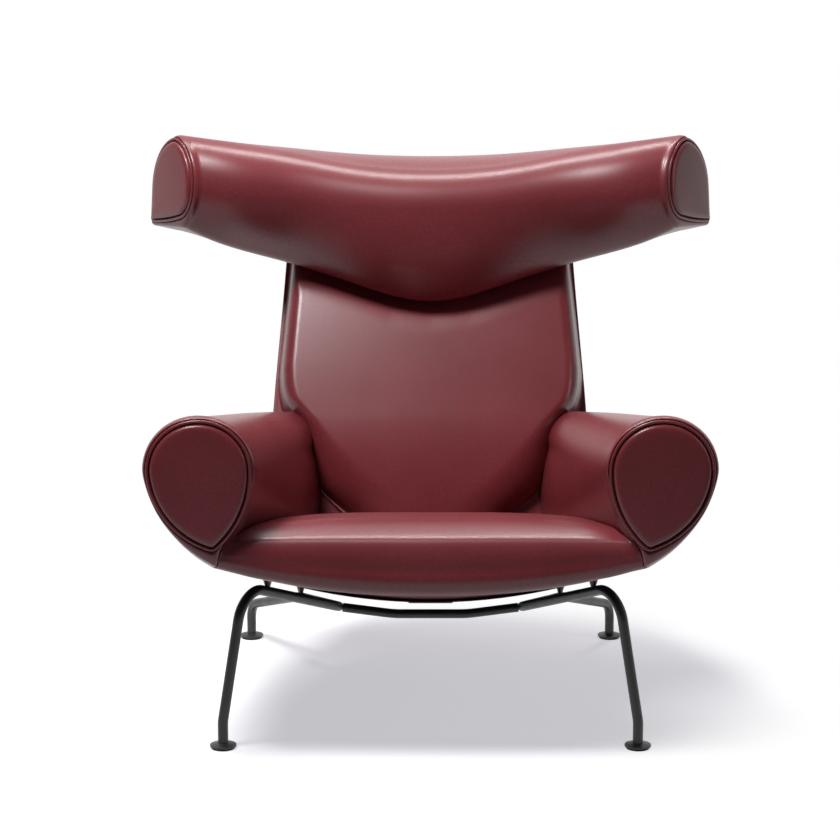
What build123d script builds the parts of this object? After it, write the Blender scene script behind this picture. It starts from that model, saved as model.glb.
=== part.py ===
from build123d import *
from math import cos, dist, radians, sin
import os

os.makedirs("parts", exist_ok=True)

# Frame: +X to the right of someone who faces the chair, +Y to the rear, +Z up, with the
# origin on the floor under the middle of the whole. A depth is measured from the chair's
# front plane to the rear, a spread from the middle plane outwards, and a height from the
# floor. Pieces are worked out on the right and mirrored to the left.
overall_depth = 990
overall_height = 900
recline = 30

# Steel base
tube_diameter = 16
tube_wall = 2
cross_tube_diameter = 15
foot_disc_diameter = 41
foot_disc_edge = 3
foot_disc_dome = 3
glide_pad_diameter = 36
glide_pad_thickness = 3
foot_spread = 321
front_foot_depth = 120
rear_foot_depth = 740
knee_height = 42
arch_spread = 286
arch_height = 258
junction_spread = 144
junction_depth = 380
junction_height = 154
rear_turn_spread = 225
rear_turn_depth = 557
rear_turn_height = 125
rear_bend_height = 62
knee_radius = 60
arch_radius = 42
junction_radius = 60
rear_turn_radius = 150
rear_bend_radius = 34
cross_tube_sag = 11
cross_tube_flat = 60
cross_tube_radius = 200

# Mounting bosses on the side tubes, and the screws from the seat shell into them
boss_foot_diameter = 8
boss_diameter = 17
boss_cone_height = 15
front_boss_top = 284
rear_boss_top = 202
front_boss_share = 0.232
rear_boss_share = 0.96
screw_diameter = 6
screw_depth = 16
screw_head_diameter = 12
screw_head_height = 5

# Seat shell, its dust cover and the cover's cloth tab
shell_front_depth = 40
shell_rear_depth = 575
shell_front_height = 256
shell_rear_height = 142
shell_thickness = 28
shell_bite = 10
cradle_depth = 90
cradle_overhang = 90
dust_cover_thickness = 2
dust_cover_margin = 42
dust_tab_width = 66
dust_tab_length = 16
dust_tab_thickness = 1

# Arms and the steel rail in each
arm_front_depth = 8
arm_front_inner = 257
arm_front_outer = 425
arm_front_seam_height = 313
arm_front_height = 230
arm_rear_depth = 544
arm_rear_inner = 202
arm_rear_outer = 262
arm_rear_seam_height = 192
arm_rear_height = 270
rail_diameter = 18
rail_front_depth = 60
rail_front_spread = 332
rail_front_height = 445
rail_rear_depth = 655
rail_rear_spread = 220
rail_rear_height = 327

# Teardrop caps of the arms and horns, and the welts around them
cap_thickness = 8
cap_tip_radius = 6
welt_width = 6
welt_thickness = 5
arm_cap_spread = 341
arm_cap_height = 460
arm_cap_radius = 72
horn_cap_radius = 70

# Seat cushion
cushion_front_depth = 20
cushion_rear_depth = 555
cushion_half_width = 322
cushion_lip_height = 262
cushion_side_lip_height = 308
cushion_crest_height = 369
cushion_side_crest_height = 360
cushion_crest_depth = 130
cushion_side_crest_depth = 60
cushion_rear_height = 261
cushion_rear_bottom = 145
cushion_nose = 12
cushion_tuck = 8

# Back, parted into its shell and its cushion, and the two steel uprights inside
back_foot_depth = 520
back_foot_height = 270
back_length = 590
back_thickness = 145
back_half_width = 283
back_top_half_width = 254
back_bottom_half_width = 210
back_hollow = 8
back_cushion_thickness = 70
upright_diameter = 18
upright_spread = 150
upright_inset = 90
upright_front_depth = 300
upright_front_height = 226
upright_radius = 60
upright_foot_drop = 55

# Headrest with its two horns, and the steel tube inside
horn_spread = 447
horn_depth = 740
horn_height = 819
horn_yaw = 33
horn_rise = 4
headrest_depth_size = 300
headrest_height_size = 250
head_tube_diameter = 18
head_tube_flat = 190
head_tube_tip_spread = 400
head_tube_tip_depth = 765
head_tube_tip_height = 806
head_tube_radius = 300


def y_at(depth):
    """Y coordinate of a depth behind the front plane."""
    return depth - overall_depth / 2


def blend(start, end, share):
    """Value at a share of the way from start to end."""
    return start + (end - start) * share


def between(start, end, share):
    """Point at a share of the way from start to end."""
    return tuple(blend(p, q, share) for p, q in zip(start, end))


def bowed_face(plane, points, bow_shares):
    """Face in a plane through clockwise points, each side bowed out by a share of itself."""
    with BuildSketch(plane) as section:
        with BuildLine():
            for start, end, bow in zip(points, points[1:] + points[:1], bow_shares):
                if bow:
                    SagittaArc(start, end, bow * dist(start, end))
                else:
                    Line(start, end)
        make_face()
    return section.sketch


def disc(x, y, height, diameter, thickness):
    """Round solid that stands on a height."""
    with BuildPart() as solid:
        with BuildSketch(Plane.XY.offset(height)):
            with Locations((x, y)):
                Circle(diameter / 2)
        extrude(amount=thickness)
    return solid.part


def rod(route, diameter, radius, wall=None):
    """Bent round bar along a route, or a tube where a wall is given."""
    with BuildPart() as solid:
        with BuildLine() as line:
            FilletPolyline(*route, radius=radius)
        with BuildSketch(line.line ^ 0):
            Circle(diameter / 2)
            if wall:
                Circle(diameter / 2 - wall, mode=Mode.SUBTRACT)
        sweep()
    return solid.part


def straight_rod(start, end, diameter):
    """Straight round bar from one point to another."""
    with BuildPart() as solid:
        with BuildSketch(Plane(origin=start, z_dir=Vector(*end) - Vector(*start))):
            Circle(diameter / 2)
        extrude(amount=dist(start, end))
    return solid.part


def flipped(solid):
    """The same solid on the other side of the middle plane."""
    with BuildPart() as other:
        mirror(solid, about=Plane.YZ)
    return other.part


# Steel base. The right side tube runs from the front foot up to the arch, in to the
# junction, out again to the rear and down to the rear foot.
foot_top = glide_pad_thickness + foot_disc_edge + foot_disc_dome
front_y = y_at(front_foot_depth)
rear_y = y_at(rear_foot_depth)
side_route = [
    (foot_spread, front_y, foot_top),
    (foot_spread, front_y, knee_height),
    (arch_spread, front_y, arch_height),
    (junction_spread, y_at(junction_depth), junction_height),
    (rear_turn_spread, y_at(rear_turn_depth), rear_turn_height),
    (foot_spread, rear_y, rear_bend_height),
    (foot_spread, rear_y, foot_top),
]
side_radii = [knee_radius, arch_radius, junction_radius, rear_turn_radius, rear_bend_radius]
side_bar = rod(side_route, tube_diameter, side_radii)
side_bars = [side_bar, flipped(side_bar)]

with BuildPart() as right_side_tube:
    add(rod(side_route, tube_diameter, side_radii, tube_wall))

with BuildPart() as left_side_tube:
    mirror(right_side_tube.part, about=Plane.YZ)

# The cross tube dips in its middle and is coped onto the side tubes' junction bends.
cross_route = [
    (-junction_spread, y_at(junction_depth), junction_height),
    (-cross_tube_flat, y_at(junction_depth), junction_height - cross_tube_sag),
    (cross_tube_flat, y_at(junction_depth), junction_height - cross_tube_sag),
    (junction_spread, y_at(junction_depth), junction_height),
]
with BuildPart() as cross_tube:
    add(rod(cross_route, cross_tube_diameter, cross_tube_radius, tube_wall))
    add(side_bars, mode=Mode.SUBTRACT)

# Feet: a domed disc on each tube end, and a glide pad under it.
foot_places = {
    "front_right": (foot_spread, front_y),
    "front_left": (-foot_spread, front_y),
    "rear_right": (foot_spread, rear_y),
    "rear_left": (-foot_spread, rear_y),
}
feet = {}
for corner, (x, y) in foot_places.items():
    with BuildPart() as foot:
        with BuildSketch(Plane.XZ.offset(-y)):
            with BuildLine():
                Polyline(
                    (x, foot_top),
                    (x, glide_pad_thickness),
                    (x + foot_disc_diameter / 2, glide_pad_thickness),
                    (x + foot_disc_diameter / 2, glide_pad_thickness + foot_disc_edge),
                    (x + tube_diameter / 2, foot_top),
                    (x, foot_top),
                )
            make_face()
        revolve(axis=Axis((x, y, 0), (0, 0, 1)))
    feet[corner + "_foot_disc"] = foot
    with BuildPart() as pad:
        add(disc(x, y, 0, glide_pad_diameter, glide_pad_thickness))
    feet[corner + "_glide_pad"] = pad

# Mounting bosses: an inverted cone on the tube, straight above, bored for its screw.
boss_tops = {
    "front": (between(side_route[2], side_route[3], front_boss_share), front_boss_top),
    "rear": (between(side_route[3], side_route[4], rear_boss_share), rear_boss_top),
}
bosses = {}
with BuildPart() as mounting_screws:
    for x, y, top in [(way * p[0], p[1], h) for p, h in boss_tops.values() for way in (1, -1)]:
        add(disc(x, y, top - screw_depth, screw_diameter, screw_depth))
        add(disc(x, y, top, screw_head_diameter, screw_head_height))
for end, ((x, y, z), top) in boss_tops.items():
    cone_foot = z + tube_diameter / 2
    with BuildPart() as boss:
        with BuildSketch(Plane.XZ.offset(-y)):
            with BuildLine():
                Polyline(
                    (x, z),
                    (x + boss_foot_diameter / 2, z),
                    (x + boss_foot_diameter / 2, cone_foot),
                    (x + boss_diameter / 2, cone_foot + boss_cone_height),
                    (x + boss_diameter / 2, top),
                    (x, top),
                    (x, z),
                )
            make_face()
        revolve(axis=Axis((x, y, 0), (0, 0, 1)))
        add(side_bar, mode=Mode.SUBTRACT)
        add(mounting_screws.part, mode=Mode.SUBTRACT)
    bosses[end + "_right_boss"] = boss
    with BuildPart() as other_boss:
        mirror(boss.part, about=Plane.YZ)
    bosses[end + "_left_boss"] = other_boss
mountings = [boss.part for boss in bosses.values()] + [mounting_screws.part]

# The back's own directions: up the recline, and square to it towards the rear.
up_back = (0, sin(radians(recline)), cos(radians(recline)))
off_back = (0, cos(radians(recline)), -sin(radians(recline)))


def on_back(x, rise, inset):
    """Point at a rise up the back's front face and an inset behind it."""
    foot = (x, y_at(back_foot_depth), back_foot_height)
    return tuple(p + rise * up + inset * off for p, up, off in zip(foot, up_back, off_back))


# Back: a lens-like section lofted up the recline. Each station gives its rise as a share
# of the length, how far its width goes to the bottom and to the top width, and its fullness.
back_station_shares = [
    (-0.13, 1.0, 0.0, 0.84),
    (0.0, 0.4, 0.0, 0.96),
    (0.18, 0.06, 0.1, 1.0),
    (0.4, 0.0, 0.28, 1.0),
    (0.6, 0.0, 0.54, 1.0),
    (0.8, 0.0, 0.8, 1.0),
    (1.0, 0.0, 1.0, 1.0),
]
back_outline_shares = [(-0.78, 0.0), (-1.0, 0.42), (0.0, 1.0), (1.0, 0.42), (0.78, 0.0)]
back_bow_shares = [0.2, 0.1, 0.1, 0.2]
back_sections = []
for rise, narrowing, tapering, fullness in back_station_shares:
    half = blend(back_half_width, back_bottom_half_width, narrowing)
    half = blend(half, back_top_half_width, tapering)
    deep = back_thickness * fullness
    plane = Plane(origin=on_back(0, rise * back_length, 0), x_dir=(1, 0, 0), z_dir=up_back)
    points = [(half * across, deep * inset) for across, inset in back_outline_shares]
    front_bow = -back_hollow / dist(points[-1], points[0])
    back_sections.append(bowed_face(plane, points, back_bow_shares + [front_bow]))
with BuildPart() as back_body:
    loft(sections=back_sections)

# Headrest: stations from the middle to the right horn's tip. Each gives its spread and its
# turn as shares, then the lip, front, top, rear and base of its outline, as shares of the
# headrest's depth and height sizes.
headrest_station_shares = [
    (0.0, 0.0, (-0.12, -0.84), (-0.235, -0.2), (0.0, 0.092), (0.8333, -0.1), (0.67, -0.46)),
    (0.31, 0.1, (-0.07, -0.71), (-0.215, -0.17), (0.02, 0.13), (0.76, -0.07), (0.62, -0.44)),
    (0.56, 0.35, (0.0, -0.57), (-0.205, -0.13), (0.03, 0.213), (0.6, -0.03), (0.5, -0.42)),
    (0.8, 0.75, (-0.06, -0.44), (-0.25, -0.09), (0.0, 0.28), (0.4, -0.02), (0.35, -0.4)),
    (1.0, 1.0, (-0.14, -0.31), (-0.28, -0.04), (-0.02, 0.325), (0.265, -0.02), (0.26, -0.335)),
]
headrest_bow_shares = [0.1, 0.19, 0.13, 0.04, 0.0]


def horn_plane(spread, turn_share):
    """Plane across the headrest, its local axes to the rear and up."""
    way = 1 if spread >= 0 else -1
    yaw = radians(horn_yaw * turn_share)
    rise = radians(horn_rise * turn_share)
    return Plane(
        origin=(spread, y_at(horn_depth), horn_height),
        x_dir=(way * sin(yaw), cos(yaw), 0),
        z_dir=(cos(yaw) * cos(rise), -way * sin(yaw) * cos(rise), way * sin(rise)),
    )


def headrest_section(way, station):
    """Outline of the headrest at one station, to one side."""
    spread_share, turn_share, *outline = station
    plane = horn_plane(way * spread_share * horn_spread, turn_share)
    points = [(u * headrest_depth_size, v * headrest_height_size) for u, v in outline]
    return bowed_face(plane, points, headrest_bow_shares)


headrest_sections = [headrest_section(-1, s) for s in headrest_station_shares[:0:-1]]
headrest_sections += [headrest_section(1, s) for s in headrest_station_shares]
with BuildPart() as headrest_body:
    loft(sections=headrest_sections)

# Inner steel frame: an upright from the seat shell up each side of the back, one tube
# through the headrest that they end at, and a rail in each arm.
upright_route = [
    (upright_spread, y_at(upright_front_depth), upright_front_height),
    on_back(upright_spread, -upright_foot_drop, upright_inset),
    on_back(upright_spread, back_length, upright_inset),
]
head_tube_knee = on_back(head_tube_flat, back_length, upright_inset)
head_tube_tip = (head_tube_tip_spread, y_at(head_tube_tip_depth), head_tube_tip_height)
head_tube_route = [
    (-head_tube_tip[0], head_tube_tip[1], head_tube_tip[2]),
    (-head_tube_knee[0], head_tube_knee[1], head_tube_knee[2]),
    head_tube_knee,
    head_tube_tip,
]
with BuildPart() as head_tube:
    add(rod(head_tube_route, head_tube_diameter, head_tube_radius))

with BuildPart() as right_upright:
    add(rod(upright_route, upright_diameter, upright_radius))
    add(head_tube.part, mode=Mode.SUBTRACT)

with BuildPart() as left_upright:
    mirror(right_upright.part, about=Plane.YZ)

with BuildPart() as right_arm_rail:
    add(
        straight_rod(
            (rail_front_spread, y_at(rail_front_depth), rail_front_height),
            (rail_rear_spread, y_at(rail_rear_depth), rail_rear_height),
            rail_diameter,
        )
    )

with BuildPart() as left_arm_rail:
    mirror(right_arm_rail.part, about=Plane.YZ)

uprights = [left_upright.part, right_upright.part]
rails = [left_arm_rail.part, right_arm_rail.part]

# Arms: stations from the front to the back. Each gives how far it goes from the front
# values to the rear ones in depth, inner side, outer side, height, outline and recline.
arm_station_shares = [
    (0.0, 0.0, 0.0, 0.0, 0.0, 0.0),
    (0.34, 0.36, 0.15, 0.42, 0.3, 0.14),
    (0.67, 0.72, 0.42, 0.8, 0.7, 0.5),
    (1.0, 1.0, 1.0, 1.0, 1.0, 1.0),
]
# The outline runs clockwise seen from the front: seam, inner foot, inner side, top, outer.
arm_front_outline_shares = [(0.36, 0.0), (0.31, 0.14), (0.0, 0.65), (0.5, 1.0), (1.0, 0.64)]
arm_rear_outline_shares = [(0.75, 0.02), (0.02, 0.16), (0.0, 0.76), (0.5, 1.0), (1.0, 0.6)]
arm_bow_shares = [0.0, 0.07, 0.2, 0.21, 0.125]
arm_sections = []
seam_corners = []
for along, inward, outer_inward, drop, reshaping, tilt in arm_station_shares:
    inner = blend(arm_front_inner, arm_rear_inner, inward)
    outer = blend(arm_front_outer, arm_rear_outer, outer_inward)
    low = blend(arm_front_seam_height, arm_rear_seam_height, drop)
    tall = blend(arm_front_height, arm_rear_height, drop)
    lean = radians(recline * tilt)
    place = (0, y_at(blend(arm_front_depth, arm_rear_depth, along)), low)
    plane = Plane(origin=place, x_dir=(1, 0, 0), z_dir=(0, -cos(lean), sin(lean)))
    outline = [
        between(front, rear, reshaping)
        for front, rear in zip(arm_front_outline_shares, arm_rear_outline_shares)
    ]
    points = [(blend(inner, outer, across), up * tall) for across, up in outline]
    arm_sections.append(bowed_face(plane, points, arm_bow_shares))
    seam_corners.append((points[0][0], place[1], low))
with BuildPart() as arm_body:
    loft(sections=arm_sections)
arm_bodies = [arm_body.part, flipped(arm_body.part)]

# Seat shell: a shallow cradle whose rims run under the arms' seams.
shell_height_shares = [0.0, 0.3, 0.64, 1.0]
shell_ys = [y_at(shell_front_depth)] + [y for _, y, _ in seam_corners[1:-1]]
shell_ys.append(y_at(shell_rear_depth))


def cradle_sections(underside, topside, margin):
    """Crescent sections between two offsets from the shell's underside, short of its rims."""
    sections = []
    for (reach, _, rim), y, share in zip(seam_corners, shell_ys, shell_height_shares):
        middle = blend(shell_front_height, shell_rear_height, share)
        full_spread = reach + shell_bite
        spread = full_spread - margin
        sag = (rim + shell_bite - middle) * (spread / full_spread) ** 2
        points = [
            (-spread, middle + sag + underside),
            (-spread, middle + sag + topside),
            (spread, middle + sag + topside),
            (spread, middle + sag + underside),
        ]
        bow = sag / (2 * spread)
        plane = Plane(origin=(0, y, 0), x_dir=(1, 0, 0), z_dir=(0, -1, 0))
        sections.append(bowed_face(plane, points, [0.0, -bow, 0.0, bow]))
    return sections


with BuildPart() as shell_body:
    loft(sections=cradle_sections(0, shell_thickness, 0))

with BuildPart() as under_cushion:
    loft(sections=cradle_sections(-cradle_depth, shell_thickness / 2, -cradle_overhang))

with BuildPart() as seat_shell:
    add(shell_body.part)
    add([back_body.part] + mountings + uprights, mode=Mode.SUBTRACT)

# Dust cover under the shell, and a plain cloth tab at its front edge.
with BuildPart() as dust_cover:
    loft(sections=cradle_sections(-dust_cover_thickness, shell_thickness / 2, dust_cover_margin))
    add([shell_body.part, back_body.part] + arm_bodies, mode=Mode.SUBTRACT)
    add(mountings + uprights, mode=Mode.SUBTRACT)

fall = shell_front_height - shell_rear_height
tab_slope = (0, shell_rear_depth - shell_front_depth, -fall)
tab_plane = Plane(
    origin=(0, y_at(shell_front_depth), shell_front_height - dust_cover_thickness),
    x_dir=(1, 0, 0),
    z_dir=Vector(1, 0, 0).cross(Vector(*tab_slope)),
)
with BuildPart() as dust_tab:
    with BuildSketch(tab_plane.offset(-dust_tab_thickness)):
        Rectangle(dust_tab_width, dust_tab_length, align=(Align.CENTER, Align.MIN))
    extrude(amount=dust_tab_thickness + dust_cover_thickness)
    add([shell_body.part, dust_cover.part], mode=Mode.SUBTRACT)

# Arms, cut to sit on the shell's rims and against the back.
with BuildPart() as right_arm:
    add(arm_body.part)
    add([shell_body.part, back_body.part] + mountings + rails, mode=Mode.SUBTRACT)

with BuildPart() as left_arm:
    mirror(right_arm.part, about=Plane.YZ)

# Seat cushion: stations from the middle to the side. Each gives its spread, then how far
# the crest and the lip go from their middle heights to their side ones.
cushion_station_shares = [(0.0, 0.0, 0.0), (0.52, 0.08, 0.25), (0.82, 0.5, 0.66), (1.0, 1.0, 1.0)]
nose_share = 0.42
shoulder_shares = (0.14, 0.86)
cushion_bow_shares = [0.18, 0.1, 0.08, 0.02, 0.0, 0.0, 0.0]


def cushion_section(way, station):
    """Outline of the seat cushion from front to rear, to one side."""
    spread, crest_fall, lip_rise = station
    crest = blend(cushion_crest_height, cushion_side_crest_height, crest_fall)
    crest_depth = blend(cushion_crest_depth, cushion_side_crest_depth, crest_fall)
    lip = blend(cushion_lip_height, cushion_side_lip_height, lip_rise)
    front = cushion_front_depth
    points = [
        (y_at(front + cushion_nose), lip),
        (y_at(front), blend(lip, crest, nose_share)),
        (y_at(blend(front, crest_depth, shoulder_shares[0])), blend(lip, crest, shoulder_shares[1])),
        (y_at(crest_depth), crest),
        (y_at(cushion_rear_depth), cushion_rear_height),
        (y_at(cushion_rear_depth), cushion_rear_bottom),
        (y_at(shell_front_depth + cushion_nose), lip - cushion_tuck),
    ]
    origin = (way * spread * cushion_half_width, 0, 0)
    plane = Plane(origin=origin, x_dir=(0, 1, 0), z_dir=(1, 0, 0))
    return bowed_face(plane, points, cushion_bow_shares)


cushion_sections = [cushion_section(-1, s) for s in cushion_station_shares[:0:-1]]
cushion_sections += [cushion_section(1, s) for s in cushion_station_shares]
well_rear_spread = (arm_rear_inner + arm_rear_outer) / 2
with BuildPart() as seat_well:
    with BuildSketch():
        Polygon(
            (-cushion_half_width, y_at(0)),
            (cushion_half_width, y_at(0)),
            (well_rear_spread, y_at(cushion_rear_depth)),
            (-well_rear_spread, y_at(cushion_rear_depth)),
            align=None,
        )
    extrude(amount=overall_height)

with BuildPart() as seat_cushion:
    loft(sections=cushion_sections)
    add(seat_well.part, mode=Mode.INTERSECT)
    add([shell_body.part, under_cushion.part, back_body.part], mode=Mode.SUBTRACT)
    add(arm_bodies + mountings, mode=Mode.SUBTRACT)
    add(uprights, mode=Mode.SUBTRACT)

# The back's two halves part on a plane along the recline.
parting = Plane(origin=on_back(0, 0, back_cushion_thickness), x_dir=(1, 0, 0), z_dir=off_back)
with BuildPart() as back_cushion:
    add(back_body.part)
    split(bisect_by=parting, keep=Keep.BOTTOM)
    add([headrest_body.part] + mountings + uprights + rails, mode=Mode.SUBTRACT)

with BuildPart() as back_shell:
    add(back_body.part)
    split(bisect_by=parting, keep=Keep.TOP)
    add([headrest_body.part, head_tube.part], mode=Mode.SUBTRACT)
    add(mountings + uprights + rails, mode=Mode.SUBTRACT)

with BuildPart() as headrest:
    add(headrest_body.part)
    add([head_tube.part] + uprights, mode=Mode.SUBTRACT)

# Teardrop caps on the arms' front ends and on the horns' tips, each with a welt round it.
arm_cap_outline_shares = [(-1.0, 0.0), (0.0, 1.0), (1.0, 0.0), (-0.26, -1.58)]
arm_cap_bow_shares = [0.21, 0.21, 0.16, 0.11]
horn_cap_outline_shares = [
    (-1.0, -0.18),
    (-0.06, 1.0),
    (0.95, -0.18),
    (0.96, -1.02),
    (-0.56, -0.77),
]
horn_cap_bow_shares = [0.2, 0.185, 0.0, 0.02, 0.14]


def cap_panel(plane, size, outline, bows, grow):
    """Teardrop face with its tip rounded, grown outwards by a width."""
    with BuildSketch(plane) as panel:
        add(bowed_face(Plane.XY, [(u * size, v * size) for u, v in outline], bows))
        fillet(panel.vertices().sort_by(Axis.Y)[0], cap_tip_radius)
        if grow:
            offset(amount=grow)
    return panel.sketch


def cap_and_welt(plane, size, outline, bows):
    """Pillowed cap on a plane, and the welt that lies round it."""
    inside = cap_panel(plane, size, outline, bows, 0)
    outside = cap_panel(plane, size, outline, bows, welt_width)
    with BuildPart() as cap:
        extrude(inside, amount=cap_thickness)
    with BuildPart() as welt:
        extrude(outside, amount=welt_thickness)
        extrude(inside, amount=welt_thickness, mode=Mode.SUBTRACT)
    return cap, welt


arm_cap_plane = Plane(
    origin=(arm_cap_spread, y_at(arm_front_depth), arm_cap_height),
    x_dir=(1, 0, 0),
    z_dir=(0, -1, 0),
)
right_arm_cap, right_arm_welt = cap_and_welt(
    arm_cap_plane, arm_cap_radius, arm_cap_outline_shares, arm_cap_bow_shares
)
right_horn_cap, right_horn_welt = cap_and_welt(
    horn_plane(horn_spread, 1), horn_cap_radius, horn_cap_outline_shares, horn_cap_bow_shares
)
right_trims = {
    "arm_cap": right_arm_cap,
    "arm_welt": right_arm_welt,
    "horn_cap": right_horn_cap,
    "horn_welt": right_horn_welt,
}
trims = {}
for name, trim in right_trims.items():
    trims["right_" + name] = trim
    with BuildPart() as other_trim:
        mirror(trim.part, about=Plane.YZ)
    trims["left_" + name] = other_trim

# Every piece under its own name.
pieces = {
    "left_side_tube": left_side_tube,
    "right_side_tube": right_side_tube,
    "cross_tube": cross_tube,
    **feet,
    **bosses,
    "mounting_screws": mounting_screws,
    "seat_shell": seat_shell,
    "dust_cover": dust_cover,
    "dust_cover_tab": dust_tab,
    "seat_cushion": seat_cushion,
    "left_arm": left_arm,
    "right_arm": right_arm,
    "left_arm_rail": left_arm_rail,
    "right_arm_rail": right_arm_rail,
    "back_shell": back_shell,
    "back_cushion": back_cushion,
    "left_upright": left_upright,
    "right_upright": right_upright,
    "headrest": headrest,
    "head_tube": head_tube,
    **trims,
}
for name, piece in pieces.items():
    piece.part.label = name
    export_step(piece.part, f"parts/{name}.step")
whole = Compound(children=[piece.part for piece in pieces.values()])
print(len(pieces), "pieces", whole.bounding_box())
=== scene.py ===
import bpy, bmesh
import numpy as np
from math import atan, cos, hypot, pi, radians, sin
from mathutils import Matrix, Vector
from mathutils.bvhtree import BVHTree


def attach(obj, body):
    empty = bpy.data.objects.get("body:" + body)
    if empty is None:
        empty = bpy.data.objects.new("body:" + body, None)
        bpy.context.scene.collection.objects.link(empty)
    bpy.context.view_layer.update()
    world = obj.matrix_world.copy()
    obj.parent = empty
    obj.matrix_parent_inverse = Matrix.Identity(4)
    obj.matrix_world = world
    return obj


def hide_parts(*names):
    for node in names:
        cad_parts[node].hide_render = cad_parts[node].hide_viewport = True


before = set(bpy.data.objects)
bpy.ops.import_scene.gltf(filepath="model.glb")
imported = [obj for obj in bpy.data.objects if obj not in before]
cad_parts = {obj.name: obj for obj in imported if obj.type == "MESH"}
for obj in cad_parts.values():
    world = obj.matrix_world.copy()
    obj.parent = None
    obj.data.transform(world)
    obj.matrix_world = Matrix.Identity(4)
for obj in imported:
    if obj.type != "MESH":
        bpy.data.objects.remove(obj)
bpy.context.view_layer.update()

metre = 0.001  # the chair's sizes are in millimetres, and go into the meshes times this
frontPlane = -495  # y of the chair's foremost point
softening = (0.5, -0.47)  # how far a point moves towards its neighbours' middle, and then back


def yAt(depth):  # depth behind the chair's front plane
    return depth + frontPlane


# curves and skins
def blend(a, b, share):
    return a + (b - a) * share


def bothWays(stations):
    # stations from the far left to the far right, each with its side's sign
    return [(-1, station) for station in stations[:0:-1]] + [(1, station) for station in stations]


def bowedOutline(points, bows, counts):
    # closed outline of arcs, clockwise, each side bowed out by a share of its length
    parts = []
    for start, end, bow, count in zip(points, points[1:] + points[:1], bows, counts):
        start, end = np.array(start, float), np.array(end, float)
        chord = end - start
        share = np.arange(count) / count
        if bow == 0:
            parts.append(start + np.outer(share, chord))
            continue
        length = hypot(*chord)
        out = np.array([-chord[1], chord[0]]) / length
        half = 2 * atan(2 * bow)
        radius = length / (2 * sin(half))
        angle = half * (2 * share - 1)
        along = (np.sin(angle) + sin(half)) * radius / length
        bulge = (np.cos(angle) - cos(half)) * radius
        parts.append(start + np.outer(along, chord) + np.outer(bulge, out))
    return np.vstack(parts)


def soften(ring, passes):
    # rounds a closed ring's corners, and gives back most of what the rounding takes off
    for step in range(passes):
        for pull in softening:
            ring = ring + pull * (0.5 * (np.roll(ring, 1, 0) + np.roll(ring, -1, 0)) - ring)
    return ring


def through(knots, values, samples):
    # natural cubic spline through the values at the knots
    knots, values = np.array(knots, float), np.array(values, float)
    count, flat, steps = len(knots), values.reshape(len(knots), -1), np.diff(knots)
    table, right = np.zeros((count, count)), np.zeros_like(flat)
    table[0, 0] = table[-1, -1] = 1
    slopes = np.diff(flat, axis=0) / steps[:, None]
    for i in range(1, count - 1):
        table[i, i - 1 : i + 2] = steps[i - 1], 2 * (steps[i - 1] + steps[i]), steps[i]
        right[i] = 6 * (slopes[i] - slopes[i - 1])
    bend = np.linalg.solve(table, right)
    samples = np.atleast_1d(np.array(samples, float))
    i = np.clip(np.searchsorted(knots, samples, side="right") - 1, 0, count - 2)
    step, past, left = steps[i][:, None], (samples - knots[i])[:, None], (knots[i + 1] - samples)[:, None]
    out = (bend[i] * left**3 + bend[i + 1] * past**3) / (6 * step)
    out += (flat[i] / step - bend[i] * step / 6) * left + (flat[i + 1] / step - bend[i + 1] * step / 6) * past
    return out.reshape((len(samples),) + values.shape[1:])


def onPlane(ring, origin, across, up):
    return np.array(origin) + np.outer(ring[:, 0], across) + np.outer(ring[:, 1], up)


def addObject(name, data):
    thing = bpy.data.objects.new(name, data)
    bpy.context.collection.objects.link(thing)
    return thing


def faceOutward(mesh, weld=None):
    shape = bmesh.new()
    shape.from_mesh(mesh)
    if weld:
        bmesh.ops.remove_doubles(shape, verts=shape.verts, dist=weld)
    bmesh.ops.recalc_face_normals(shape, faces=shape.faces)
    shape.to_mesh(mesh)
    shape.free()


def skinRings(name, rings):
    # closed skin over rings of one count, its ends closed by a fan
    rings = np.array(rings)
    rows, count = rings.shape[:2]
    points = list(rings.reshape(-1, 3)) + [rings[0].mean(0), rings[-1].mean(0)]
    pairs = [(i, (i + 1) % count) for i in range(count)]
    last, firstHub, lastHub = (rows - 1) * count, rows * count, rows * count + 1
    faces = []
    for row in range(0, last, count):
        faces += [(row + i, row + j, row + count + j, row + count + i) for i, j in pairs]
    for i, j in pairs:
        faces += [(j, i, firstHub), (last + i, last + j, lastHub)]
    mesh = bpy.data.meshes.new(name)
    mesh.from_pydata([tuple(p) for p in np.array(points) * metre], [], faces)
    faceOutward(mesh)
    mesh.polygons.foreach_set("use_smooth", [True] * len(mesh.polygons))
    return addObject(name, mesh)


def spotsOf(mesh):
    spots = np.empty(len(mesh.vertices) * 3)
    mesh.vertices.foreach_get("co", spots)
    return spots.reshape(-1, 3)


def mirrored(piece, name):
    mesh = piece.data.copy()
    mesh.name = name
    mesh.vertices.foreach_set("co", (spotsOf(mesh) * (-1, 1, 1)).ravel())
    mesh.flip_normals()
    return addObject(name, mesh)


def treeOf(*pieces):
    points, faces = [], []
    for piece in pieces:
        start = len(points)
        points += [vertex.co.copy() for vertex in piece.data.vertices]
        faces += [[start + i for i in face.vertices] for face in piece.data.polygons]
    return BVHTree.FromPolygons(points, faces)


def hit(tree, spot, way):
    # where a ray from a spot in millimetres meets the tree, or None
    found = tree.ray_cast(Vector(spot) * metre, Vector(way))
    return None if found[0] is None else np.array(found[0]) / metre


# materials
def linear(hexText):
    # sRGB to the scene's linear colour
    parts = [int(hexText[i : i + 2], 16) / 255 for i in (1, 3, 5)]
    return tuple(p / 12.92 if p <= 0.04045 else ((p + 0.055) / 1.055) ** 2.4 for p in parts) + (1.0,)


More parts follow.
